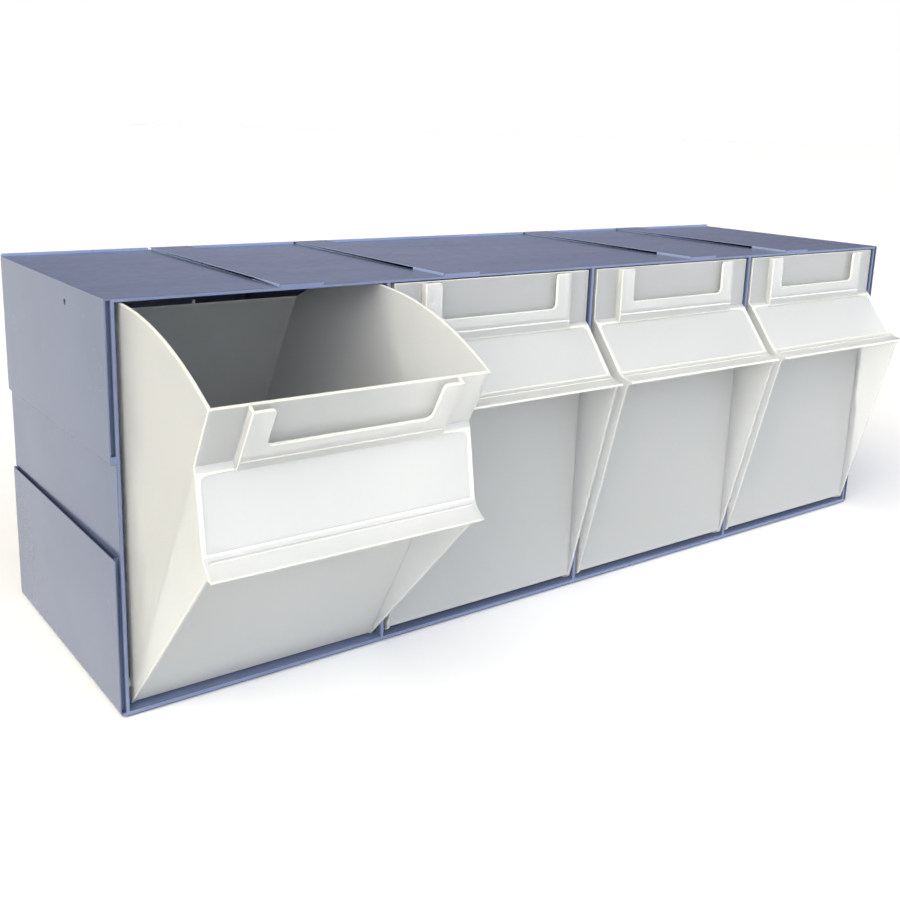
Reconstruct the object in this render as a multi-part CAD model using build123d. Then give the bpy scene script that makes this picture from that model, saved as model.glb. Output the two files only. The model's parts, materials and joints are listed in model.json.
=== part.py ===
from build123d import *
import math
import os

# Tilt-out bin unit: a moulded housing with four compartments, and four translucent bins that tilt forward on pivot pegs.
# Millimetres. +X to the right seen from the front, -Y is the front, +Z up.
# Origin: centre of the housing's footprint, on the surface that the stacking nubs stand on.

# ---- overall size
WIDTH = 600.0
DEPTH = 168.0
NUB_H = 0.8  # stacking nubs under the floor
BODY_H = 206.4  # underside of the floor to the top panel
TOP_T = 1.8
FLOOR_T = 2.6
BACK_T = 2.0
WALL_X = 4.8  # outer face of a side pad to the inner face of the side wall
WALL_SKIN = 0.7  # outer skin of a side pad
WALL_IN = 2.0  # inner skin of a side wall
DIVIDER_T = 2.4
CORNER_R = 6.0  # lower rear corner, seen from the side

# ---- stacking rails on the top panel
RAIL_X = (-200.0, -100.0, 100.0, 200.0)
RAIL_W = 25.0
RAIL_H = 1.4
RAIL_CUT_W = 0.7  # undercut on both sides of a rail
RAIL_CUT_H = 0.9
RAIL_SOLID_Y = 30.0  # front length without an undercut
LIP_T = 2.0
LIP_GAP = 1.5

# ---- side pads
PAD_LOW_TOP = 82.0
PAD_HIGH_BOTTOM = 129.0
WAIST_REAR = 1.5  # depth of the recess between the pads
WAIST_FRONT = 2.8
SLOT_DEPTH = 2.5  # grooves in the front edges of the pads
SLOT_WEB = 1.5  # web between the front groove and the slot in the lower pad's top
FOOT_R = 3.0  # lower outer edges, seen from the front
SIDE_HOLE_R = 1.5
SIDE_HOLE_Y = 56.0  # from the front plane
SIDE_HOLE_Z = 197.0

# ---- bins, in the closed position; y from the front plane, z from the underside of the floor
BINS = 4
BIN_GAP = 2.5
BIN_T = 1.6
BACK_WALL_T = 1.4
PIVOT_Y = 7.5
PIVOT_Z = 14.0
PEG_R = 2.5
PEG_CLEAR = 0.05
PEG_IN = 1.0
FRONT_TOP_Z = 204.0
BIN_BOTTOM_Z = 5.0
FRONT_LOW_Z = 7.4
BIN_REAR_Y = 165.0
EAR_R = 10.8
STOP_R = 193.2  # stop nibs on the side walls' curved edges
STOP_DEG = 50.59
STOP_SPAN_DEG = 1.5
BACK_TOP = 1.2  # height of the back wall above the side walls' rear end
TAB_X = 4.0  # small tab on the back wall's top edge
TAB_W = 1.4
TAB_H = 2.8
OPEN_DEG = 29.4  # the open bin's tilt

# ---- finger pull, front surface then back surface
PULL_FRONT = [(0.0, 173.0), (-2.4, 171.0), (-22.5, 146.0), (-24.5, 143.9), (-26.9, 142.5), (-30.3, 141.5), (-35.0, 141.0)]
PULL_BACK = [(-35.0, 139.5), (-29.9, 139.9), (-26.3, 140.9), (-23.55, 142.55), (-21.25, 145.0), (0.0, 171.43)]
FIN_TIP_Y = -31.2  # where the fin's front edge would meet the lip without its fillet
FIN_END_Y = -34.6
FIN_FILLET = 4.2

# ---- label holder
HOLDER_INSET = 17.5
HOLDER_BAR = 11.0
HOLDER_T = 4.2
HOLDER_PLATE_T = 1.6  # the U-shaped plate; the rest of the holder's depth is the label's pocket
HOLDER_WEB_T = 1.4  # outer sides of the pocket
POCKET_Z = 177.5  # where a label's lower edge rests
HOLDER_TOP = 203.4
WINDOW_Z = 183.0
WINDOW_R = 3.0
HOLDER_TIP_R = 2.0  # inner top corners of the holder's bars
HOLDER_LOW = 175.3
HOLDER_FOOT_Y = -3.4

Y0 = -DEPTH / 2
Z0 = NUB_H
X0 = -WIDTH / 2


def P(x, y, z):
    return (x, y + Y0, z + Z0)


def prism(x0, x1, pts):
    """A solid between two x planes whose outline is given as (y, z) points."""
    face = make_face(Polyline([P(x0, y, z) for y, z in pts], close=True))
    return extrude(face, amount=x1 - x0, dir=(1, 0, 0))


def block(x0, x1, y0, y1, z0, z1):
    return Pos((x0 + x1) / 2, (y0 + y1) / 2 + Y0, (z0 + z1) / 2 + Z0) * Box(x1 - x0, y1 - y0, z1 - z0)


def rod(x0, x1, y, z, r):
    return Pos(*P((x0 + x1) / 2, y, z)) * (Rot(0, 90, 0) * Cylinder(r, x1 - x0))


os.makedirs("parts", exist_ok=True)
made = {}


def save(name, shape):
    made[name] = shape
    export_step(shape, "parts/" + name + ".step")


# ---- housing
under_top = BODY_H - TOP_T
top = block(X0, -X0, 0, DEPTH, under_top, BODY_H)
rail_z = BODY_H + RAIL_H
for cx in RAIL_X:
    top += block(cx - RAIL_W / 2, cx + RAIL_W / 2, 0, DEPTH, BODY_H, rail_z)
edges = [X0] + [e for cx in RAIL_X for e in (cx - RAIL_W / 2 - LIP_GAP, cx + RAIL_W / 2 + LIP_GAP)] + [-X0]
for a, b in zip(edges[0::2], edges[1::2]):
    top += block(a, b, DEPTH - LIP_T, DEPTH, BODY_H, rail_z)
for cx in RAIL_X:
    for side in (-1, 1):
        a, b = sorted((cx + side * RAIL_W / 2, cx + side * (RAIL_W / 2 - RAIL_CUT_W)))
        top -= block(a, b, RAIL_SOLID_Y, DEPTH, BODY_H, BODY_H + RAIL_CUT_H)
for side in (-1, 1):
    a, b = sorted((side * (WIDTH / 2 - WALL_SKIN), side * (WIDTH / 2 - WALL_X + WALL_IN)))
    top -= block(a, b, -1, SLOT_DEPTH, under_top - 1, BODY_H - 0.8)
save("housing_top", top)

in_l, in_r = X0 + WALL_X, -X0 - WALL_X
r = CORNER_R
m = r * (1 - math.sqrt(0.5))
outline = (
    Line(P(in_l, 0, 0), P(in_l, DEPTH - r, 0))
    + ThreePointArc(P(in_l, DEPTH - r, 0), P(in_l, DEPTH - m, m), P(in_l, DEPTH, r))
    + Polyline(
        P(in_l, DEPTH, r),
        P(in_l, DEPTH - BACK_T, r),
        P(in_l, DEPTH - BACK_T, FLOOR_T + 2.0),
        P(in_l, DEPTH - 12.0, FLOOR_T + 2.0),
        P(in_l, DEPTH - 12.0, FLOOR_T),
        P(in_l, 0, FLOOR_T),
        P(in_l, 0, 0),
    )
)
floor = extrude(make_face(outline), amount=in_r - in_l, dir=(1, 0, 0))
for cx in RAIL_X:
    a = cx + RAIL_W / 2 + 0.1
    for y in (2.0, 150.0):
        floor += block(a, a + 1.6, y, y + 6.0, -NUB_H, 0.6)
save("housing_floor", floor)

save("housing_back", block(in_l, in_r, DEPTH - BACK_T, DEPTH, r, under_top))


def side_wall(sign):
    """A side wall with two grooved pads, built for the left and mirrored for the right."""
    x0 = X0
    base = (
        Line(P(x0, 0, 0), P(x0, DEPTH - r, 0))
        + ThreePointArc(P(x0, DEPTH - r, 0), P(x0, DEPTH - m, m), P(x0, DEPTH, r))
        + Polyline(P(x0, DEPTH, r), P(x0, DEPTH, under_top), P(x0, 0, under_top), P(x0, 0, 0))
    )
    s = extrude(make_face(base), amount=WALL_X, dir=(1, 0, 0))
    waist = make_face(
        Polyline(
            [
                P(x0 - 1, -1, PAD_LOW_TOP),
                P(x0 + WAIST_FRONT + (WAIST_FRONT - WAIST_REAR) / DEPTH, -1, PAD_LOW_TOP),
                P(x0 + WAIST_REAR - (WAIST_FRONT - WAIST_REAR) / DEPTH, DEPTH + 1, PAD_LOW_TOP),
                P(x0 - 1, DEPTH + 1, PAD_LOW_TOP),
            ],
            close=True,
        )
    )
    s -= extrude(waist, amount=PAD_HIGH_BOTTOM - PAD_LOW_TOP, dir=(0, 0, 1))
    mid = FOOT_R * (1 - math.sqrt(0.5))
    foot = (
        ThreePointArc(P(x0, -1, FOOT_R), P(x0 + mid, -1, mid), P(x0 + FOOT_R, -1, 0))
        + Polyline(P(x0 + FOOT_R, -1, 0), P(x0 + FOOT_R, -1, -1), P(x0 - 1, -1, -1), P(x0 - 1, -1, FOOT_R), P(x0, -1, FOOT_R))
    )
    s -= extrude(make_face(foot), amount=DEPTH + 2, dir=(0, 1, 0))
    slot_a, slot_b = x0 + WALL_SKIN, x0 + WALL_X - WALL_IN
    s -= block(slot_a, slot_b, -1, SLOT_DEPTH, PAD_HIGH_BOTTOM + 4.0, BODY_H)
    s -= block(slot_a, slot_b, -1, SLOT_DEPTH, 2.2, PAD_LOW_TOP + 1)
    s -= block(slot_a, slot_b, SLOT_DEPTH + SLOT_WEB, DEPTH - 3.0, PAD_LOW_TOP - 15.0, PAD_LOW_TOP + 1)
    s -= rod(x0 - 1, x0 + WALL_X + 1, SIDE_HOLE_Y, SIDE_HOLE_Z, SIDE_HOLE_R)
    s -= rod(x0 + WALL_X - 1.3, x0 + WALL_X + 1, PIVOT_Y, PIVOT_Z, PEG_R + PEG_CLEAR)
    return s if sign < 0 else mirror(s, about=Plane.YZ)


save("housing_left_side", side_wall(-1))
save("housing_right_side", side_wall(1))

bay = (in_r - in_l - (BINS - 1) * DIVIDER_T) / BINS
for i in range(1, BINS):
    x = in_l + i * bay + (i - 1) * DIVIDER_T
    d = block(x, x + DIVIDER_T, 0, DEPTH - BACK_T, FLOOR_T, under_top)
    d -= block(x - 1, x + DIVIDER_T + 1, DEPTH - 12.0, DEPTH, 0, FLOOR_T + 2.0)
    d -= rod(x - 1, x + DIVIDER_T + 1, PIVOT_Y, PIVOT_Z, PEG_R + PEG_CLEAR)
    save("divider_%d" % i, d)

# ---- bins
arc_r = math.hypot(PIVOT_Y, FRONT_TOP_Z - PIVOT_Z)
arc_end_z = PIVOT_Z + math.sqrt(arc_r**2 - (BIN_REAR_Y - PIVOT_Y) ** 2)
back_top_z = arc_end_z + BACK_TOP


def on_circle(radius, deg):
    a = math.radians(deg)
    return PIVOT_Y + radius * math.cos(a), PIVOT_Z + radius * math.sin(a)


def bin_side(x):
    """One side wall with its fin, its rounded foot around the pivot and its stop nib."""
    foot_z = PIVOT_Z - math.sqrt(EAR_R**2 - PIVOT_Y**2)
    foot_y = PIVOT_Y + math.sqrt(EAR_R**2 - (PIVOT_Z - BIN_BOTTOM_Z) ** 2)
    a0 = math.degrees(math.atan2(FRONT_TOP_Z - PIVOT_Z, -PIVOT_Y))
    a1 = math.degrees(math.atan2(arc_end_z - PIVOT_Z, BIN_REAR_Y - PIVOT_Y))
    lip_slope = (PULL_BACK[0][1] - PULL_BACK[1][1]) / (PULL_BACK[0][0] - PULL_BACK[1][0])
    tip_z = PULL_BACK[0][1] + lip_slope * (FIN_TIP_Y - PULL_BACK[0][0])
    end_z = PULL_BACK[0][1] + lip_slope * (FIN_END_Y - PULL_BACK[0][0])
    edge = math.hypot(FIN_TIP_Y, tip_z - foot_z)
    start = (FIN_TIP_Y * (1 - FIN_FILLET / edge), tip_z + (foot_z - tip_z) * FIN_FILLET / edge)
    lines = Polyline(P(x, 0, foot_z), P(x, *start))
    lines += Bezier(P(x, *start), P(x, FIN_TIP_Y, tip_z), P(x, FIN_END_Y, end_z))
    lines += Polyline(
        P(x, FIN_END_Y, end_z),
        *[P(x, y, z) for y, z in PULL_BACK[1:]],
        P(x, 0, FRONT_TOP_Z),
    )
    lines += ThreePointArc(
        P(x, 0, FRONT_TOP_Z), P(x, *on_circle(arc_r, (a0 + a1) / 2)), P(x, BIN_REAR_Y, arc_end_z)
    )
    lines += Polyline(
        P(x, BIN_REAR_Y, arc_end_z), P(x, BIN_REAR_Y, BIN_BOTTOM_Z), P(x, foot_y, BIN_BOTTOM_Z)
    )
    lines += ThreePointArc(
        P(x, foot_y, BIN_BOTTOM_Z), P(x, PIVOT_Y, PIVOT_Z - EAR_R), P(x, 0, foot_z)
    )
    wall = extrude(make_face(lines), amount=BIN_T, dir=(1, 0, 0))
    nib = [
        on_circle(arc_r - 2, STOP_DEG),
        on_circle(STOP_R, STOP_DEG),
        on_circle(STOP_R, STOP_DEG - STOP_SPAN_DEG),
        on_circle(arc_r - 2, STOP_DEG - STOP_SPAN_DEG - 1.0),
    ]
    return wall + prism(x, x + BIN_T, nib)


def make_bin(k):
    a = in_l + (k - 1) * (bay + DIVIDER_T) + BIN_GAP
    b = a + bay - 2 * BIN_GAP
    ia, ib = a + BIN_T, b - BIN_T
    slope = (FRONT_LOW_Z - BIN_BOTTOM_Z) / 3.43
    z_in = FRONT_LOW_Z - slope * BIN_T
    front = prism(ia, ib, [(0, FRONT_LOW_Z), (0, FRONT_TOP_Z), (BIN_T, FRONT_TOP_Z), (BIN_T, z_in)])
    bottom = prism(
        ia,
        ib,
        [
            (BIN_T, z_in),
            (BIN_T, BIN_BOTTOM_Z + BIN_T),
            (BIN_REAR_Y - BACK_WALL_T, BIN_BOTTOM_Z + BIN_T),
            (BIN_REAR_Y - BACK_WALL_T, BIN_BOTTOM_Z),
            (3.43, BIN_BOTTOM_Z),
        ],
    )
    back = block(ia, ib, BIN_REAR_Y - BACK_WALL_T, BIN_REAR_Y, BIN_BOTTOM_Z, back_top_z)
    cx = (a + b) / 2 + TAB_X
    back += block(cx - TAB_W / 2, cx + TAB_W / 2, BIN_REAR_Y - BACK_WALL_T, BIN_REAR_Y, back_top_z - 1, back_top_z + TAB_H)
    pull = prism(a, b, PULL_FRONT + PULL_BACK)

    ha, hb = a + HOLDER_INSET, b - HOLDER_INSET
    t = (HOLDER_FOOT_Y - PULL_FRONT[1][0]) / (PULL_FRONT[2][0] - PULL_FRONT[1][0])
    foot_z = PULL_FRONT[1][1] + t * (PULL_FRONT[2][1] - PULL_FRONT[1][1])
    holder = prism(
        ha,
        hb,
        [(0, HOLDER_TOP), (-HOLDER_T, HOLDER_TOP), (-HOLDER_T, HOLDER_LOW), (HOLDER_FOOT_Y, foot_z)]
        + [PULL_FRONT[1], PULL_FRONT[0]],
    )
    wa, wb = ha + HOLDER_BAR, hb - HOLDER_BAR
    window = block(wa, wb, -HOLDER_T - 1, 0, WINDOW_Z, HOLDER_TOP + 1)
    low = window.edges().filter_by(Axis.Y).group_by(Axis.Z)[0]
    holder -= fillet(low, WINDOW_R)
    tips = holder.edges().filter_by(Axis.Y).group_by(Axis.Z)[-1].sort_by(Axis.X)[1:-1]
    holder = fillet(tips, HOLDER_TIP_R)
    holder -= block(ha + HOLDER_WEB_T, hb - HOLDER_WEB_T, HOLDER_PLATE_T - HOLDER_T, 1, POCKET_Z, HOLDER_TOP + 1)

    pegs = [
        rod(a - BIN_GAP - PEG_IN, a, PIVOT_Y, PIVOT_Z, PEG_R),
        rod(b, b + BIN_GAP + PEG_IN, PIVOT_Y, PIVOT_Z, PEG_R),
    ]
    return {
        "front_wall": front,
        "bottom": bottom,
        "back_wall": back,
        "left_wall": bin_side(a),
        "right_wall": bin_side(ib),
        "finger_pull": pull,
        "label_holder": holder,
        "pivot_pegs": Compound(children=pegs),
    }


hinge = Axis(P(0, PIVOT_Y, PIVOT_Z), (1, 0, 0))
for k in range(1, BINS + 1):
    for name, shape in make_bin(k).items():
        if k == 1:
            shape = shape.rotate(hinge, OPEN_DEG)
        save("bin_%d_%s" % (k, name), shape)
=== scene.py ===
import json
import math
import bpy
import bmesh
from mathutils import Matrix, Vector

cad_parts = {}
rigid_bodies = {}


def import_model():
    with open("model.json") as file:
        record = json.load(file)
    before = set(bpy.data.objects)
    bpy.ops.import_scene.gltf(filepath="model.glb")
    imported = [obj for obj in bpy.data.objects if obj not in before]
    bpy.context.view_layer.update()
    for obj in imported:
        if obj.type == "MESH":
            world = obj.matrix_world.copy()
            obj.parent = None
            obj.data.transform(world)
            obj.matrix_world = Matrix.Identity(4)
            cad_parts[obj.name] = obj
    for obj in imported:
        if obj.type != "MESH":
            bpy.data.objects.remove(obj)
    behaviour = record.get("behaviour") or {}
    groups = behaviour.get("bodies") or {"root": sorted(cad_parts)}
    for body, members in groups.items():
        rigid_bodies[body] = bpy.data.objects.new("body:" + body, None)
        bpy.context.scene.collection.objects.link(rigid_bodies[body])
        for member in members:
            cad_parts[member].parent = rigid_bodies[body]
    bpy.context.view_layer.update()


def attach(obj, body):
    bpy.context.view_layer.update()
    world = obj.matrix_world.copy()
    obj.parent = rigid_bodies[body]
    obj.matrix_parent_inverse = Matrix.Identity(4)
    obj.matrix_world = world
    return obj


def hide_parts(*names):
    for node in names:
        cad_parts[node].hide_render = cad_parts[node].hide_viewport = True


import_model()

# ---------------------------------------------------------------- dimensions, in millimetres
WIDTH, DEPTH, NUB_H, BODY_H, TOP_T, FLOOR_T, BACK_T = 600.0, 168.0, 0.8, 206.4, 1.8, 2.6, 2.0
WALL_X, WALL_SKIN, WALL_IN, DIVIDER_T, CORNER_R, FOOT_R = 4.8, 0.7, 2.0, 2.4, 6.0, 3.0
RAIL_X, RAIL_W, RAIL_H, RAIL_CUT_W, RAIL_CUT_H, RAIL_SOLID_Y = (-200.0, -100.0, 100.0, 200.0), 25.0, 1.4, 0.7, 0.9, 30.0
LIP_T, LIP_GAP = 2.0, 1.5
PAD_LOW_TOP, PAD_HIGH_BOTTOM, WAIST_REAR, WAIST_FRONT, SLOT_DEPTH, SLOT_WEB = 82.0, 129.0, 1.5, 2.8, 2.5, 1.5
SIDE_HOLE = (56.0, 197.0, 1.5)
BIN_GAP, BIN_T, BACK_WALL_T = 2.5, 1.6, 1.4
PIVOT = (7.5, 14.0)
PEG_R = 2.5
FRONT_TOP_Z, BIN_BOTTOM_Z, FRONT_LOW_Z, BIN_REAR_Y = 204.0, 5.0, 7.4, 165.0
EAR_R, STOP_R, STOP_DEG, STOP_SPAN_DEG, TAB_X, OPEN_DEG = 10.8, 193.2, 50.59, 1.5, 4.0, 29.4
PULL_TOP, PULL_HEEL, PULL_KNEE = (0.0, 173.0), (-2.4, 171.0), (-22.5, 146.0)
FIN_TIP_Y = -31.2
HOLDER_INSET, HOLDER_BAR, HOLDER_T, HOLDER_TOP = 17.5, 11.0, 4.2, 203.4
HOLDER_PLATE_T, HOLDER_WEB_T, POCKET_Z = 1.6, 1.4, 177.5
WINDOW_Z, WINDOW_R, HOLDER_LOW, HOLDER_FOOT_Y = 183.0, 3.0, 175.3, -3.4

IN_L, IN_R = -WIDTH / 2 + WALL_X, WIDTH / 2 - WALL_X
BAY = (IN_R - IN_L - 3 * DIVIDER_T) / 4
UNDER_TOP = BODY_H - TOP_T


def P(x, y, z):
    """Millimetres from the front plane and the floor's underside, to metres in the shared frame."""
    return Vector((x, y - DEPTH / 2, z + NUB_H)) * 0.001


def bezier(p0, p1, p2, p3, n):
    out = []
    for i in range(n + 1):
        t = i / n
        a, b, c, d = (1 - t) ** 3, 3 * t * (1 - t) ** 2, 3 * t * t * (1 - t), t**3
        out.append((a * p0[0] + b * p1[0] + c * p2[0] + d * p3[0], a * p0[1] + b * p1[1] + c * p2[1] + d * p3[1]))
    return out


def arc(cx, cy, r, a0, a1, n):
    return [
        (cx + r * math.cos(math.radians(a0 + (a1 - a0) * i / n)), cy + r * math.sin(math.radians(a0 + (a1 - a0) * i / n)))
        for i in range(n + 1)
    ]


# ---------------------------------------------------------------- mesh helpers
def solid(points_a, points_b):
    """A closed solid between two equal outlines of points."""
    bm = bmesh.new()
    va = [bm.verts.new(p) for p in points_a]
    vb = [bm.verts.new(p) for p in points_b]
    n = len(va)
    bm.faces.new(va)
    bm.faces.new(list(reversed(vb)))
    for i in range(n):
        j = (i + 1) % n
        bm.faces.new((va[j], va[i], vb[i], vb[j]))
    bmesh.ops.recalc_face_normals(bm, faces=bm.faces)
    return bm


def prism(x0, x1, yz):
    return solid([P(x0, y, z) for y, z in yz], [P(x1, y, z) for y, z in yz])


def prism_y(y0, y1, xz):
    return solid([P(x, y0, z) for x, z in xz], [P(x, y1, z) for x, z in xz])


def prism_z(z0, z1, xy):
    return solid([P(x, y, z0) for x, y in xy], [P(x, y, z1) for x, y in xy])


def block(x0, x1, y0, y1, z0, z1):
    return prism(x0, x1, [(y0, z0), (y1, z0), (y1, z1), (y0, z1)])


def rod(x0, x1, y, z, r, n=28):
    return prism(x0, x1, arc(y, z, r, 0, 360 - 360 / n, n - 1))


def as_object(bm, name, collection=None):
    me = bpy.data.meshes.new(name)
    bm.to_mesh(me)
    bm.free()
    ob = bpy.data.objects.new(name, me)
    (collection or bpy.context.scene.collection).objects.link(ob)
    return ob


def combine(name, base, add=(), cut=()):
    """One solid out of several: exact union, then exact difference."""
    ob = as_object(base, name)
    for operation, parts in (("UNION", add), ("DIFFERENCE", cut)):
        if not parts:
            continue
        col = bpy.data.collections.new(name + "_" + operation.lower())
        bpy.context.scene.collection.children.link(col)
        for i, part in enumerate(parts):
            as_object(part, "%s_%s_%d" % (name, operation.lower(), i), col)
        mod = ob.modifiers.new(operation, "BOOLEAN")
        mod.operation = operation
        mod.operand_type = "COLLECTION"
        mod.collection = col
        mod.solver = "EXACT"
        bake(ob)
        for o in list(col.objects):
            me = o.data
            bpy.data.objects.remove(o)
            bpy.data.meshes.remove(me)
        bpy.data.collections.remove(col)
    tidy(ob)
    return ob


def bake(ob):
    """Applies the object's modifiers to its mesh."""
    bpy.context.view_layer.update()
    dg = bpy.context.evaluated_depsgraph_get()
    me = bpy.data.meshes.new_from_object(ob.evaluated_get(dg), depsgraph=dg)
    old = ob.data
    ob.modifiers.clear()
    ob.data = me
    bpy.data.meshes.remove(old)


def tidy(ob):
    bm = bmesh.new()
    bm.from_mesh(ob.data)
    bmesh.ops.remove_doubles(bm, verts=bm.verts, dist=4e-6)
    bmesh.ops.dissolve_degenerate(bm, edges=bm.edges, dist=2e-6)
    bmesh.ops.dissolve_limit(
        bm, angle_limit=math.radians(0.4), use_dissolve_boundaries=False, verts=bm.verts, edges=bm.edges
    )
    bmesh.ops.recalc_face_normals(bm, faces=bm.faces)
    bm.to_mesh(ob.data)
    bm.free()


def round_edges(ob, width, weight, segments=2, angle=24.0):
    """Rounds the convex edges. weight(edge midpoint, edge) is each edge's share of the width."""
    me = ob.data
    bm = bmesh.new()
    bm.from_mesh(me)
    layer = bm.edges.layers.float.get("bevel_weight_edge") or bm.edges.layers.float.new("bevel_weight_edge")
    for e in bm.edges:
        w = 0.0
        if len(e.link_faces) == 2 and e.calc_face_angle(0.0) > math.radians(angle) and e.is_convex:
            w = weight((e.verts[0].co + e.verts[1].co) / 2, e)
        e[layer] = w
    bm.to_mesh(me)
    bm.free()
    mod = ob.modifiers.new("round", "BEVEL")
    mod.limit_method = "WEIGHT"
    mod.width = width * 0.001
    mod.segments = segments
    mod.profile = 0.5
    mod.use_clamp_overlap = False
    mod.harden_normals = True
    # the rounded strips take material slot 1; on the housing that slot holds a lighter blue, a painted highlight along
    # every rounded edge
    mod.material = 1
    mod.miter_outer = "MITER_ARC"
    for p in me.polygons:
        p.use_smooth = True
    me.set_sharp_from_angle(angle=math.radians(28))
    bake(ob)


# ---------------------------------------------------------------- node helpers
class Mat:
    def __init__(self, name):
        self.m = bpy.data.materials.new(name)
        self.m.use_nodes = True
        self.nt = self.m.node_tree
        self.nt.nodes.clear()
        self.out = self.node("ShaderNodeOutputMaterial")
        self.bsdf = self.node("ShaderNodeBsdfPrincipled")
        self.link(self.bsdf.outputs[0], self.out.inputs["Surface"])
        self.coord = self.node("ShaderNodeTexCoord").outputs["Object"]

    def node(self, kind, **settings):
        n = self.nt.nodes.new(kind)
        for k, v in settings.items():
            setattr(n, k, v)
        return n

    def link(self, a, b):
        self.nt.links.new(a, b)

    def noise(self, scale, detail=3.0, rough=0.5, distortion=0.0, stretch=None):
        n = self.node("ShaderNodeTexNoise")
        n.inputs["Scale"].default_value = scale
        n.inputs["Detail"].default_value = detail
        n.inputs["Roughness"].default_value = rough
        n.inputs["Distortion"].default_value = distortion
        source = self.coord
        if stretch:
            mp = self.node("ShaderNodeMapping")
            mp.inputs["Scale"].default_value = stretch
            self.link(source, mp.inputs["Vector"])
            source = mp.outputs[0]
        self.link(source, n.inputs["Vector"])
        return n.outputs["Fac"]

    def remap(self, value, a, b, lo, hi):
        n = self.node("ShaderNodeMapRange")
        n.inputs["From Min"].default_value = a
        n.inputs["From Max"].default_value = b
        n.inputs["To Min"].default_value = lo
        n.inputs["To Max"].default_value = hi
        self.link(value, n.inputs["Value"])
        return n.outputs["Result"]

    def math(self, op, a, b):
        n = self.node("ShaderNodeMath", operation=op)
        for i, v in enumerate((a, b)):
            if isinstance(v, (int, float)):
                n.inputs[i].default_value = v
            else:
                self.link(v, n.inputs[i])
        return n.outputs[0]

    def mix(self, fac, a, b):
        n = self.node("ShaderNodeMix", data_type="RGBA")
        self.link(fac, n.inputs["Factor"])
        for socket, v in ((n.inputs["A"], a), (n.inputs["B"], b)):
            pass
        ins = [s for s in n.inputs if s.type == "RGBA"]
        for socket, v in zip(ins, (a, b)):
            if isinstance(v, tuple):
                socket.default_value = (*v, 1.0)
            else:
                self.link(v, socket)
        return [s for s in n.outputs if s.type == "RGBA"][0]

    def bump(self, pairs):
        normal = None
        for height, distance, strength in pairs:
            n = self.node("ShaderNodeBump")
            n.inputs["Strength"].default_value = strength
            n.inputs["Distance"].default_value = distance
            self.link(height, n.inputs["Height"])
            if normal is not None:
                self.link(normal, n.inputs["Normal"])
            normal = n.outputs["Normal"]
        self.link(normal, self.bsdf.inputs["Normal"])

    def set(self, **values):
        for k, v in values.items():
            self.bsdf.inputs[k.replace("_", " ")].default_value = v


def bin_material(name, clear, kind):
    m = Mat(name)
    cloud = m.noise(11.0, 4.0, 0.55, 0.6)
    flow = m.noise(5.0, 3.0, 0.5, 1.2, stretch=(1.0, 6.0, 6.0))
    fine = m.noise(1400.0, 2.0, 0.6)
    mid = m.noise(160.0, 3.0, 0.55)
    m.bsdf.inputs["Transmission Weight"].default_value = clear
    m.set(IOR=1.46)
    if kind == "edge":
        colour = m.mix(m.remap(cloud, 0.35, 0.7, 0.0, 1.0), (0.9, 0.885, 0.78), (0.94, 0.925, 0.84))
        rough = m.remap(mid, 0.3, 0.7, 0.34, 0.48)
    elif kind == "thick":
        colour = m.mix(m.remap(cloud, 0.35, 0.7, 0.0, 1.0), (0.94, 0.945, 0.93), (0.975, 0.975, 0.96))
        rough = m.remap(mid, 0.3, 0.7, 0.3, 0.42)
    else:
        pale = m.mix(m.remap(cloud, 0.35, 0.7, 0.0, 1.0), (0.925, 0.935, 0.925), (0.96, 0.965, 0.955))
        colour = m.mix(m.remap(flow, 0.55, 0.75, 0.0, 0.4), pale, (0.975, 0.965, 0.93))
        rough = m.remap(mid, 0.3, 0.7, 0.29, 0.34)
    m.link(colour, m.bsdf.inputs["Base Color"])
    m.link(rough, m.bsdf.inputs["Roughness"])
    m.bump([(flow, 0.0004, 0.1), (fine, 0.000004, 0.3)])
    return m.m


def housing_material(name, kind):
    m = Mat(name)
    cloud = m.noise(9.0, 4.0, 0.55, 0.8)
    streak = m.noise(7.0, 4.0, 0.6, 0.5, stretch=(1.0, 5.0, 1.0))
    fine = m.noise(1500.0, 2.0, 0.6)
    mid = m.noise(220.0, 3.0, 0.55)
    scuff = m.noise(55.0, 6.0, 0.7, 2.5)
    # edge: a lighter blue than the face, a painted highlight for the rounded edges and the rear lip, and painted light
    # in the rail undercuts
    if kind == "edge":
        colour = m.mix(m.remap(cloud, 0.3, 0.7, 0.0, 1.0), (0.2, 0.25, 0.42), (0.27, 0.325, 0.5))
        rough = m.remap(mid, 0.3, 0.7, 0.25, 0.4)
    # front: lighter than the face, painted light for the front-facing faces and the floor's top
    elif kind == "front":
        colour = m.mix(m.remap(cloud, 0.3, 0.7, 0.0, 1.0), (0.13, 0.16, 0.27), (0.16, 0.195, 0.32))
        rough = m.remap(mid, 0.3, 0.7, 0.38, 0.48)
    else:
        base = m.mix(m.remap(cloud, 0.3, 0.7, 0.0, 1.0), (0.08, 0.1, 0.175), (0.094, 0.116, 0.195))
        colour = m.mix(m.remap(scuff, 0.62, 0.8, 0.0, 0.25), base, (0.26, 0.31, 0.44))
        rough = m.math("ADD", m.remap(mid, 0.3, 0.7, 0.13, 0.2), m.remap(streak, 0.4, 0.8, 0.0, 0.08))
    m.link(colour, m.bsdf.inputs["Base Color"])
    m.link(rough, m.bsdf.inputs["Roughness"])
    m.set(IOR=1.5)
    if kind == "front":
        m.bump([(streak, 0.0008, 0.03), (fine, 0.00001, 0.2)])
    else:
        m.bump([(streak, 0.0008, 0.05), (mid, 0.00005, 0.25), (fine, 0.00002, 0.3)])
    return m.m


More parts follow.
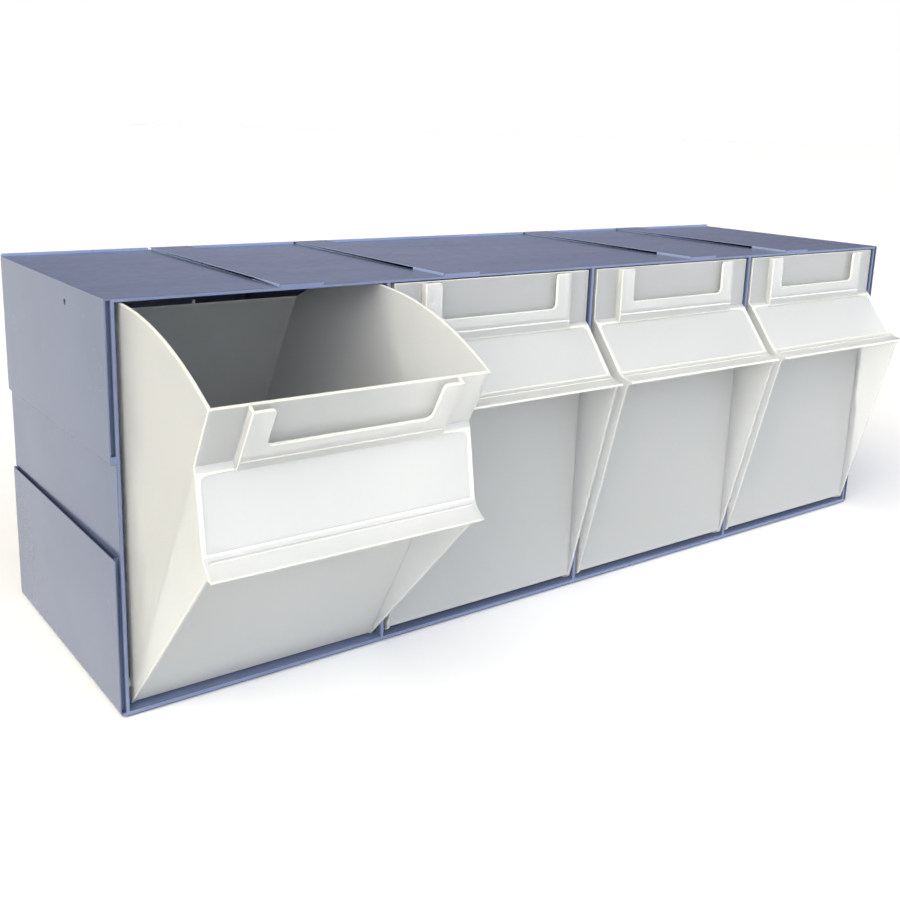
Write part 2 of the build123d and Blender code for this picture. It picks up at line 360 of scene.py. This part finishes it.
BIN_BODY = bin_material("bin_plastic_wall", 0.74, "wall")
BIN_RIM = bin_material("bin_plastic_edge", 0.32, "edge")
BIN_THICK = bin_material("bin_plastic_thick", 0.68, "thick")
HOUSING_BODY = housing_material("housing_plastic_face", "face")
# lighter copy of the housing plastic: painted highlight on the edges, the rear lip and the rail undercuts
HOUSING_EDGE_PAINTED_HIGHLIGHT = housing_material("housing_plastic_edge_painted_highlight", "edge")
# lighter copy of the housing plastic: painted light on the front-facing faces and the floor's top
HOUSING_FRONT_PAINTED_LIGHT = housing_material("housing_plastic_front_painted_light", "front")


# ---------------------------------------------------------------- housing
def housing():
    x0, x1 = -WIDTH / 2, WIDTH / 2
    r = CORNER_R
    side = [(0, 0)] + arc(DEPTH - r, r, r, -90, 0, 8) + [(DEPTH, BODY_H), (0, BODY_H)]
    base = prism(x0, x1, side)
    top_z = BODY_H + RAIL_H
    add, cut = [], []
    for cx in RAIL_X:
        add.append(block(cx - RAIL_W / 2, cx + RAIL_W / 2, 0, DEPTH, BODY_H - 0.6, top_z))
        a = cx + RAIL_W / 2 + 0.1
        for y in (2.0, 150.0):
            add.append(block(a, a + 1.6, y, y + 6.0, -NUB_H, 0.6))
    edges = [x0] + [e for cx in RAIL_X for e in (cx - RAIL_W / 2 - LIP_GAP, cx + RAIL_W / 2 + LIP_GAP)] + [x1]
    for a, b in zip(edges[0::2], edges[1::2]):
        add.append(block(a, b, DEPTH - LIP_T, DEPTH, BODY_H - 0.6, top_z))
    for cx in RAIL_X:
        for s in (-1, 1):
            a, b = sorted((cx + s * (RAIL_W / 2 + 0.8), cx + s * (RAIL_W / 2 - RAIL_CUT_W)))
            cut.append(block(a, b, RAIL_SOLID_Y, DEPTH + 1, BODY_H, BODY_H + RAIL_CUT_H))
    for i in range(4):
        a = IN_L + i * (BAY + DIVIDER_T)
        cut.append(
            prism(a, a + BAY, [(-1, FLOOR_T), (DEPTH - 12, FLOOR_T), (DEPTH - 12, FLOOR_T + 2), (DEPTH - BACK_T, FLOOR_T + 2), (DEPTH - BACK_T, UNDER_TOP), (-1, UNDER_TOP)])
        )
    for i in range(1, 4):
        x = IN_L + i * BAY + (i - 1) * DIVIDER_T
        cut.append(rod(x - 1, x + DIVIDER_T + 1, *PIVOT, PEG_R + 0.05))
    slope = (WAIST_FRONT - WAIST_REAR) / DEPTH
    for s in (-1, 1):
        def sx(v):
            return s * (WIDTH / 2 - v)
        cut.append(
            prism_z(PAD_LOW_TOP, PAD_HIGH_BOTTOM, [(sx(-1), -1), (sx(WAIST_FRONT + slope), -1), (sx(WAIST_REAR - slope), DEPTH + 1), (sx(-1), DEPTH + 1)])
        )
        a, b = sorted((sx(WALL_SKIN), sx(WALL_X - WALL_IN)))
        cut.append(block(a, b, -1, SLOT_DEPTH, PAD_HIGH_BOTTOM + 4.0, BODY_H - 0.8))
        cut.append(block(a, b, -1, SLOT_DEPTH, 2.2, PAD_LOW_TOP + 1))
        cut.append(block(a, b, SLOT_DEPTH + SLOT_WEB, DEPTH - 3.0, PAD_LOW_TOP - 15, PAD_LOW_TOP + 1))
        corner = [(s * (WIDTH / 2 - u), v) for u, v in arc(FOOT_R, FOOT_R, FOOT_R, 180, 270, 8)]
        cut.append(prism_y(-1, DEPTH + 1, [(sx(-1), -1)] + [(sx(-1), FOOT_R)] + corner + [(sx(FOOT_R), -1)]))
        a, b = sorted((sx(-1), sx(WALL_X + 1)))
        cut.append(rod(a, b, SIDE_HOLE[0], SIDE_HOLE[1], SIDE_HOLE[2], 20))
        a, b = sorted((sx(WALL_X - 1.3), sx(WALL_X + 1)))
        cut.append(rod(a, b, *PIVOT, PEG_R + 0.05))
    ob = combine("housing_shell", base, add, cut)

    def weight(c, e):
        ax = abs(c.x) * 1000
        y, z = c.y * 1000 + DEPTH / 2, c.z * 1000 - NUB_H
        if ax > 299.9 and (z > BODY_H - 0.1 or z < 0.1 or y > DEPTH - 0.1 or abs(z - PAD_HIGH_BOTTOM) < 0.1):
            return 1.0
        if ax > 296.9:
            return 0.45
        if z > BODY_H + 0.5 or z < 0.0:
            return 0.5
        return 0.6
    round_edges(ob, 0.55, weight)
    for m in (HOUSING_BODY, HOUSING_EDGE_PAINTED_HIGHLIGHT, HOUSING_FRONT_PAINTED_LIGHT):
        ob.data.materials.append(m)
    for p in ob.data.polygons:
        y, z = p.center.y * 1000 + DEPTH / 2, p.center.z * 1000 - NUB_H
        near_rail = min(abs(abs(p.center.x * 1000 - cx) - RAIL_W / 2) for cx in RAIL_X) < RAIL_CUT_W + 0.1
        # front-facing faces and the floor's top take the lighter front copy: painted light
        if (p.normal.y < -0.99 and y < 0.05) or (p.normal.z > 0.99 and abs(z - FLOOR_T) < 0.05):
            p.material_index = 2
        # the rear lip's top and the faces at the rail undercuts take the lighter edge copy: a painted highlight on the
        # lip, painted light in the undercuts' shade
        elif z > BODY_H + 0.05 and (y > DEPTH - LIP_T - 0.05 or (near_rail and y > RAIL_SOLID_Y / 2)):
            p.material_index = 1
    return ob


# ---------------------------------------------------------------- bins
ARC_R = math.hypot(PIVOT[0], FRONT_TOP_Z - PIVOT[1])
ARC_END_Z = PIVOT[1] + math.sqrt(ARC_R**2 - (BIN_REAR_Y - PIVOT[0]) ** 2)
LIP_FRONT = bezier(PULL_KNEE, (-25.0, 142.9), (-27.6, 141.4), (-35.0, 141.0), 8)
LIP_BACK = bezier((-21.25, 145.0), (-24.3, 141.2), (-27.0, 139.7), (-35.0, 139.5), 8)
BACK_TOP = 1.2  # how far the back wall stands above the side walls' arc at the rear


def on_circle(radius, deg):
    a = math.radians(deg)
    return PIVOT[0] + radius * math.cos(a), PIVOT[1] + radius * math.sin(a)


def side_outline():
    py, pz = PIVOT
    foot_z = pz - math.sqrt(EAR_R**2 - py**2)
    foot_y = py + math.sqrt(EAR_R**2 - (pz - BIN_BOTTOM_Z) ** 2)
    a0 = math.degrees(math.atan2(FRONT_TOP_Z - pz, -py))
    a1 = math.degrees(math.atan2(ARC_END_Z - pz, BIN_REAR_Y - py))
    tip = (FIN_TIP_Y, 139.45)
    along = math.hypot(tip[0], tip[1] - foot_z)
    start = (tip[0] - tip[0] / along * 4.2, tip[1] - (tip[1] - foot_z) / along * 4.2)
    end = (-34.6, 139.52)
    curve = [tuple((1 - t) ** 2 * start[i] + 2 * t * (1 - t) * tip[i] + t * t * end[i] for i in (0, 1)) for t in [j / 6 for j in range(7)]]
    pts = [(0.0, foot_z)] + curve + [(-34.6, 140.2), (-27.4, 140.6), (-22.0, 145.4), (-0.4, 172.0), (0.0, 172.0)]
    pts += arc(py, pz, ARC_R, a0, a1, 40)
    pts += [(BIN_REAR_Y, BIN_BOTTOM_Z)]
    e0 = math.degrees(math.atan2(BIN_BOTTOM_Z - pz, foot_y - py))
    e1 = math.degrees(math.atan2(foot_z - pz, -py)) - 360
    e1 = e1 if e1 < e0 else e1 - 360
    if e0 - e1 > 360:
        e1 += 360
    pts += arc(py, pz, EAR_R, e0, e1, 12)[:-1]
    return pts


def make_bin(k):
    a = IN_L + (k - 1) * (BAY + DIVIDER_T) + BIN_GAP
    b = a + BAY - 2 * BIN_GAP
    outline = side_outline()
    base = prism(a, a + BIN_T, outline)
    add = [prism(b - BIN_T, b, outline)]
    nib = [
        on_circle(ARC_R - 2, STOP_DEG),
        on_circle(STOP_R, STOP_DEG),
        on_circle(STOP_R, STOP_DEG - STOP_SPAN_DEG),
        on_circle(ARC_R - 2, STOP_DEG - STOP_SPAN_DEG - 1.0),
    ]
    add += [prism(a, a + BIN_T, nib), prism(b - BIN_T, b, nib)]
    slope = (FRONT_LOW_Z - BIN_BOTTOM_Z) / 3.43
    z_in = FRONT_LOW_Z - slope * BIN_T
    ia, ib = a + BIN_T / 2, b - BIN_T / 2
    add.append(
        prism(ia, ib, [(0, FRONT_LOW_Z), (0, FRONT_TOP_Z), (BIN_T, FRONT_TOP_Z), (BIN_T, BIN_BOTTOM_Z + BIN_T), (BIN_REAR_Y - BACK_WALL_T, BIN_BOTTOM_Z + BIN_T),
                       (BIN_REAR_Y - BACK_WALL_T, ARC_END_Z + BACK_TOP), (BIN_REAR_Y, ARC_END_Z + BACK_TOP), (BIN_REAR_Y, BIN_BOTTOM_Z), (3.43, BIN_BOTTOM_Z)])
    )
    cx = (a + b) / 2 + TAB_X
    add.append(block(cx - 0.7, cx + 0.7, BIN_REAR_Y - BACK_WALL_T, BIN_REAR_Y, ARC_END_Z - 1, ARC_END_Z + BACK_TOP + 2.8))
    add.append(prism(a, b, [PULL_TOP, PULL_HEEL] + LIP_FRONT + list(reversed(LIP_BACK)) + [(0.0, 171.43), (0.4, 172.2)]))
    add.append(prism(a + 2.2, b - 2.2, [(-26.2 + 0.9 * math.cos(q) , 142.35 + 0.75 * math.sin(q)) for q in [i * math.pi / 5 for i in range(10)]]))
    ha, hb = a + HOLDER_INSET, b - HOLDER_INSET
    t = (HOLDER_FOOT_Y - PULL_HEEL[0]) / (PULL_KNEE[0] - PULL_HEEL[0])
    foot_z = PULL_HEEL[1] + t * (PULL_KNEE[1] - PULL_HEEL[1])
    wa, wb, wr, tr = ha + HOLDER_BAR, hb - HOLDER_BAR, WINDOW_R, 2.0
    holder = as_object(
        prism(ha, hb, [(0.4, HOLDER_TOP), (-HOLDER_T, HOLDER_TOP), (-HOLDER_T, HOLDER_LOW), (HOLDER_FOOT_Y - 0.5, foot_z - 1.2), (0.4, foot_z - 1.2)]), "holder")
    window = (
        [(wa - tr, HOLDER_TOP + 1)]
        + [(wa - tr, HOLDER_TOP)] + arc(wa - tr, HOLDER_TOP - tr, tr, 90, 0, 5)[1:]
        + arc(wa + wr, WINDOW_Z + wr, wr, 180, 270, 6)
        + arc(wb - wr, WINDOW_Z + wr, wr, 270, 360, 6)
        + arc(wb + tr, HOLDER_TOP - tr, tr, 180, 90, 5)
        + [(wb + tr, HOLDER_TOP + 1)]
    )
    cutters = [
        as_object(prism_y(-HOLDER_T - 1, 1.0, window), "window"),
        as_object(block(ha + HOLDER_WEB_T, hb - HOLDER_WEB_T, HOLDER_PLATE_T - HOLDER_T, 1.0, POCKET_Z, HOLDER_TOP + 1), "pocket"),
    ]
    for cutter in cutters:
        mod = holder.modifiers.new(cutter.name, "BOOLEAN")
        mod.operation, mod.object, mod.solver = "DIFFERENCE", cutter, "EXACT"
        bake(holder)
    hb_m = bmesh.new()
    hb_m.from_mesh(holder.data)
    add.append(hb_m)
    for o in [holder] + cutters:
        me = o.data
        bpy.data.objects.remove(o)
        bpy.data.meshes.remove(me)
    # a fine ridge where the holder's plate turns into its sloping foot
    add.append(rod(ha + 0.6, hb - 0.6, 0.25 - HOLDER_T, HOLDER_LOW, 0.35, 10))
    add += [rod(a - BIN_GAP - 1.0, a + 0.4, *PIVOT, PEG_R), rod(b - 0.4, b + BIN_GAP + 1.0, *PIVOT, PEG_R)]

    # the shallow panel in the finger pull's face, with rounded upper corners
    ty, tz = PULL_KNEE[0] - PULL_HEEL[0], PULL_KNEE[1] - PULL_HEEL[1]
    length = math.hypot(ty, tz)
    ty, tz = ty / length, tz / length
    ny, nz = tz, -ty
    pa, pb, v0, v1, r0 = a + 2.2, b - 2.2, 1.3, length + 1.6, 3.6
    ring = [(pa, v1), (pb, v1)] + arc(pb - r0, v0 + r0, r0, 0, -90, 8) + arc(pa + r0, v0 + r0, r0, -90, -180, 8)

    def on_flap(u, v, h):
        return P(u, PULL_HEEL[0] + ty * v + ny * h, PULL_HEEL[1] + tz * v + nz * h)
    panel = solid([on_flap(u, v, 1.0) for u, v in ring], [on_flap(u, v, -0.6) for u, v in ring])
    # the panel stays clear of the label holder's foot
    ob = combine("bin_%d_shell" % k, base, add, [panel])

    mid_x = (a + b) / 2

    def weight(c, e):
        return 1.0
    round_edges(ob, 0.34, weight)
    me = ob.data
    me.materials.append(BIN_BODY)
    me.materials.append(BIN_RIM)
    me.materials.append(BIN_THICK)
    for p in me.polygons:
        if p.material_index == 1:
            continue
        vs = [me.vertices[i].co for i in p.vertices]
        longest = max((vs[i] - vs[i - 1]).length for i in range(len(vs)))
        y, z = p.center.y * 1000 + DEPTH / 2, p.center.z * 1000 - NUB_H
        narrow = p.area / max(longest, 1e-9) < 0.0017
        lip = -34.8 < y < -1.0 and z < 150 and abs(p.normal.x) < 0.5
        # height above the finger pull's face: the frame around the panel stands proud of it
        above = (y - PULL_HEEL[0]) * ny + (z - PULL_HEEL[1]) * nz
        frame_face = p.normal.y * ny + p.normal.z * nz > 0.98 and above > -0.2 and y < -0.3
        if (narrow and not lip) or frame_face:
            p.material_index = 1
        elif z > 138 and y < -0.3 and (abs(p.normal.x) < 0.5 or z > 172):
            p.material_index = 2
    if k == 1:
        h = P(0, *PIVOT)
        me.transform(Matrix.Translation(h) @ Matrix.Rotation(math.radians(OPEN_DEG), 4, "X") @ Matrix.Translation(-h))
    return ob


shell = housing()
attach(shell, "housing")
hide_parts("housing_top", "housing_floor", "housing_back", "housing_left_side", "housing_right_side", "divider_1", "divider_2", "divider_3")
for k in (1, 2, 3, 4):
    ob = make_bin(k)
    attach(ob, "bin_%d" % k)
    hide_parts(*["bin_%d_%s" % (k, n) for n in ("front_wall", "back_wall", "bottom", "left_wall", "right_wall", "finger_pull", "label_holder", "pivot_pegs")])

# ---------------------------------------------------------------- stage
bm = bmesh.new()
bmesh.ops.create_grid(bm, x_segments=24, y_segments=24, size=30.0)
floor = as_object(bm, "studio_floor")
fm = Mat("studio_floor_paint")
fm.link(fm.mix(fm.remap(fm.noise(3.0, 4.0), 0.3, 0.7, 0.0, 1.0), (0.975, 0.975, 0.975), (0.985, 0.985, 0.985)), fm.bsdf.inputs["Base Color"])
fm.link(fm.remap(fm.noise(40.0, 3.0), 0.3, 0.7, 0.55, 0.7), fm.bsdf.inputs["Roughness"])
fm.set(Specular_IOR_Level=0.2)
floor.data.materials.append(fm.m)

world = bpy.data.worlds.new("studio")
bpy.context.scene.world = world
world.use_nodes = True
wt = world.node_tree
background = wt.nodes["Background"]
background.inputs["Strength"].default_value = 1.0
sky = wt.nodes.new("ShaderNodeTexCoord").outputs["Generated"]

# soft boxes all around: direction, colour, tightness
SOFT_BOXES = [
    ((-1.0, 0.0, 0.15), (1.03, 0.9, 0.23), 4.0),
    ((-0.7, -0.7, 0.15), (3.31, 3.28, 3.59), 4.0),
    ((0.7, -0.7, 0.15), (1.4, 1.42, 1.79), 4.0),
    ((0.0, -1.0, 0.1), (0.0, 0.28, 0.27), 4.0),
    ((-0.7, -0.3, 0.65), (2.77, 2.63, 2.36), 4.0),
    ((0.5, 0.85, 0.2), (0.37, 0.39, 0.52), 4.0),
]


def world_node(kind, op, *values):
    n = wt.nodes.new(kind)
    n.operation = op
    for i, v in enumerate(values):
        socket = n.inputs["Scale"] if op == "SCALE" and i == 1 else n.inputs[i]
        if isinstance(v, bpy.types.NodeSocket):
            wt.links.new(v, socket)
        else:
            socket.default_value = v
    return n.outputs["Value"] if kind == "ShaderNodeMath" or op == "DOT_PRODUCT" else n.outputs["Vector"]


glow = None
for direction, colour, tight in SOFT_BOXES:
    dot = world_node("ShaderNodeVectorMath", "DOT_PRODUCT", sky, Vector(direction).normalized())
    lobe = world_node("ShaderNodeMath", "POWER", world_node("ShaderNodeMath", "MAXIMUM", dot, 0.0), tight)
    part = world_node("ShaderNodeVectorMath", "SCALE", colour, lobe)
    glow = part if glow is None else world_node("ShaderNodeVectorMath", "ADD", glow, part)
path = wt.nodes.new("ShaderNodeLightPath")
seen = wt.nodes.new("ShaderNodeMix")
seen.data_type = "RGBA"
seen_in = [s for s in seen.inputs if s.type == "RGBA"]
wt.links.new(glow, seen_in[0])
seen_in[1].default_value = (1.0, 1.0, 1.0, 1.0)
wt.links.new(path.outputs["Is Camera Ray"], seen.inputs["Factor"])
wt.links.new([s for s in seen.outputs if s.type == "RGBA"][0], background.inputs["Color"])

key_data = bpy.data.lights.new("key_light", "AREA")
key_data.shape = "RECTANGLE"
key_data.size, key_data.size_y = 0.8, 0.5
key_data.energy = 1.0
key_data.color = (0.98, 1.0, 1.0)
key = bpy.data.objects.new("key_light", key_data)
bpy.context.scene.collection.objects.link(key)
key.location = (0.15, -1.05, 1.15)
key.rotation_euler = (Vector((0.0, -0.1, 0.1)) - key.location).to_track_quat("-Z", "Y").to_euler()

cam_data = bpy.data.cameras.new("camera")
cam = bpy.data.objects.new("camera", cam_data)
bpy.context.scene.collection.objects.link(cam)
right, up, back = Vector((0.805555, -0.59166, 0.031927)), Vector((0.112996, 0.206293, 0.971944)), Vector((-0.581647, -0.779347, 0.233036))
cam.matrix_world = Matrix((
    (right.x, up.x, back.x, -0.46152),
    (right.y, up.y, back.y, -0.55348),
    (right.z, up.z, back.z, 0.28745),
    (0, 0, 0, 1),
))
cam_data.sensor_fit = "HORIZONTAL"
cam_data.sensor_width = 36.0
cam_data.lens = 43.1922
cam_data.shift_x = 0.008364
cam_data.shift_y = -0.074338
cam_data.clip_start = 0.01
cam_data.clip_end = 200.0
bpy.context.scene.camera = cam
bpy.context.scene.view_settings.view_transform = "Standard"
